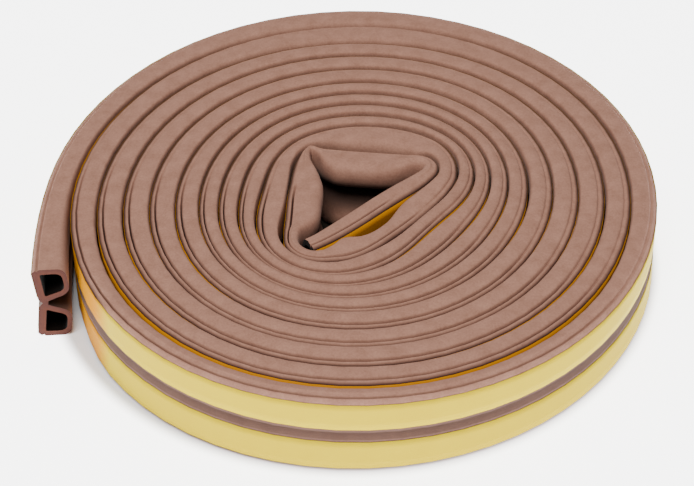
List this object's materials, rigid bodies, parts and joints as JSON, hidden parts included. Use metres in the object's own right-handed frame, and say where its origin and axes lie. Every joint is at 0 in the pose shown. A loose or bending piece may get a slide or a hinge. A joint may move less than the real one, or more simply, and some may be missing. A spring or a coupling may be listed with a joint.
{
  "type": "epdm seal strip",
  "caption": "Flat coil of self-adhesive foam rubber seal strip, twin hollow D profile with paper release liners on its backs.",
  "frame": {"origin": "centre of the coil's box, on the surface that it lies on", "axes": "+Z is the coil's axis, upwards; the free end lies at -X and points to -Y"},
  "size_m": [0.144, 0.152, 0.0192],
  "materials": {
    "foam_rubber": "matte, fine closed-cell skin",
    "liner_paper": "smooth yellow siliconed paper"
  },
  "bodies": {
    "root": {"twin_seal_strip": "foam_rubber", "upper_release_liner": "liner_paper", "lower_release_liner": "liner_paper"}
  },
  "joints": []
}
